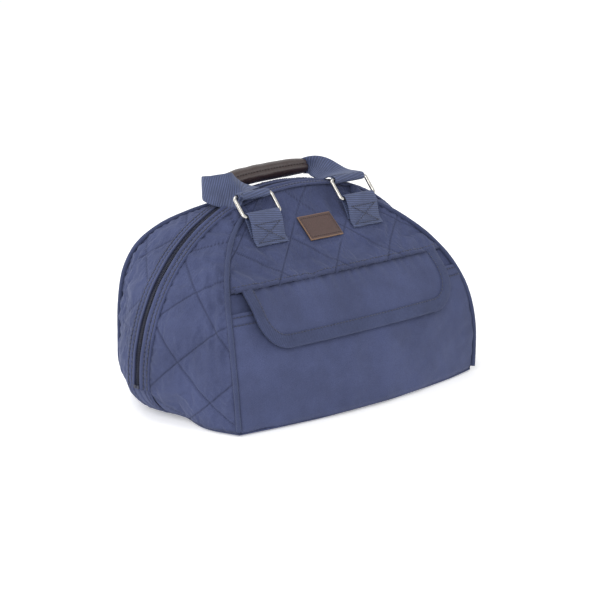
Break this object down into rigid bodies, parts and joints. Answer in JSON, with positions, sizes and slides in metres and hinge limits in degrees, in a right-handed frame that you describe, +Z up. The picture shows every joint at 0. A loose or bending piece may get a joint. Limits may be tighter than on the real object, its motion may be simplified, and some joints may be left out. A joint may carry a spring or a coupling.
{
  "type": "soft dome carry bag",
  "caption": "Soft dome-shaped carry bag with quilted panels, a zip over the top, a flapped front pocket and webbing handles with leather grips on metal rings.",
  "frame": {"origin": "on the floor, under the zip and midway between the two ends", "axes": "+X to the right of the pocket side, -Y out of the pocket side, +Z up"},
  "size_m": [0.3799, 0.2267, 0.2121],
  "materials": {
    "quilted_twill": "padded, quilted in a diamond grid, matt",
    "plain_twill": "heavy woven twill, matt",
    "lining_cloth": "thin smooth lining",
    "stiffener_board": "stiff sheet",
    "binding_tape": "narrow woven tape",
    "piping_cloth": "cloth over cord",
    "zip_coil": "coil teeth",
    "zip_metal": "plated cast metal",
    "webbing": "ribbed woven webbing",
    "ring_metal": "plated steel wire",
    "brown_leather": "smooth dark brown leather",
    "touch_fastener": "hook and loop"
  },
  "bodies": {
    "back_shell": {"back_gusset_left": "quilted_twill", "back_gusset_right": "quilted_twill", "back_lining": "lining_cloth", "back_panel": "quilted_twill", "back_piping_left": "piping_cloth", "back_piping_right": "piping_cloth", "back_tab_left": "webbing", "back_tab_right": "webbing", "back_zip_band": "binding_tape", "back_zip_stops": "zip_coil", "back_zip_tape": "binding_tape", "back_zip_teeth": "zip_coil", "base_board": "stiffener_board", "base_lining": "lining_cloth", "base_panel": "plain_twill", "front_sill_left": "plain_twill", "front_sill_right": "plain_twill", "zip_end_patch_left": "plain_twill", "zip_end_patch_right": "plain_twill"},
    "front_shell": {"front_upper_panel": "quilted_twill", "front_lower_panel": "plain_twill", "front_lining": "lining_cloth", "pocket_panel": "plain_twill", "pocket_fastener": "touch_fastener", "label_patch": "brown_leather", "front_gusset_left": "quilted_twill", "front_gusset_right": "quilted_twill", "front_piping_left": "piping_cloth", "front_piping_right": "piping_cloth", "front_zip_band": "binding_tape", "front_zip_tape": "binding_tape", "front_zip_teeth": "zip_coil", "front_zip_stops": "zip_coil", "front_tab_left": "webbing", "front_tab_right": "webbing"},
    "flap": {"flap_panel": "plain_twill", "flap_binding": "binding_tape", "flap_fastener": "touch_fastener"},
    "slider": {"zip_slider": "zip_metal"},
    "pull": {"zip_pull": "zip_metal"},
    "front_rings": {"front_ring_left": "ring_metal", "front_ring_right": "ring_metal"},
    "front_handle": {"front_strap_left": "webbing", "front_strap_loop_left": "webbing", "front_strap_loop_right": "webbing", "front_strap_right": "webbing", "front_grip": "brown_leather"},
    "back_rings": {"back_ring_left": "ring_metal", "back_ring_right": "ring_metal"},
    "back_handle": {"back_strap_left": "webbing", "back_strap_loop_left": "webbing", "back_strap_loop_right": "webbing", "back_strap_right": "webbing", "back_grip": "brown_leather"}
  },
  "joints": [
    {"name": "front_open", "type": "hinge", "parent": "back_shell", "child": "front_shell", "pos_m": [0, -0.122, 0.002], "axis": [1, 0, 0], "range_deg": [0, 70]},
    {"name": "flap_lift", "type": "hinge", "parent": "front_shell", "child": "flap", "pos_m": [0, -0.0802, 0.1234], "axis": [-1, 0, 0], "range_deg": [0, 120]},
    {"name": "slider_travel", "type": "hinge", "parent": "back_shell", "child": "slider", "pos_m": [0.032, 0, 0.037], "axis": [0, -1, 0], "range_deg": [0, 70]},
    {"name": "pull_swing", "type": "hinge", "parent": "slider", "child": "pull", "pos_m": [0.1899, 0, 0.04666], "axis": [0, -1, 0], "range_deg": [0, 150]},
    {"name": "front_rings_swing", "type": "hinge", "parent": "front_shell", "child": "front_rings", "pos_m": [0, -0.0345, 0.178], "axis": [1, 0, 0], "range_deg": [0, 60]},
    {"name": "front_handle_swing", "type": "hinge", "parent": "front_rings", "child": "front_handle", "pos_m": [0, -0.02068, 0.19447], "axis": [1, 0, 0], "range_deg": [0, 150]},
    {"name": "back_rings_swing", "type": "hinge", "parent": "back_shell", "child": "back_rings", "pos_m": [0, 0.0665, 0.158], "axis": [1, 0, 0], "range_deg": [0, 100]},
    {"name": "back_handle_swing", "type": "hinge", "parent": "back_rings", "child": "back_handle", "pos_m": [0, 0.08599, 0.14891], "axis": [1, 0, 0], "range_deg": [0, 110]}
  ]
}
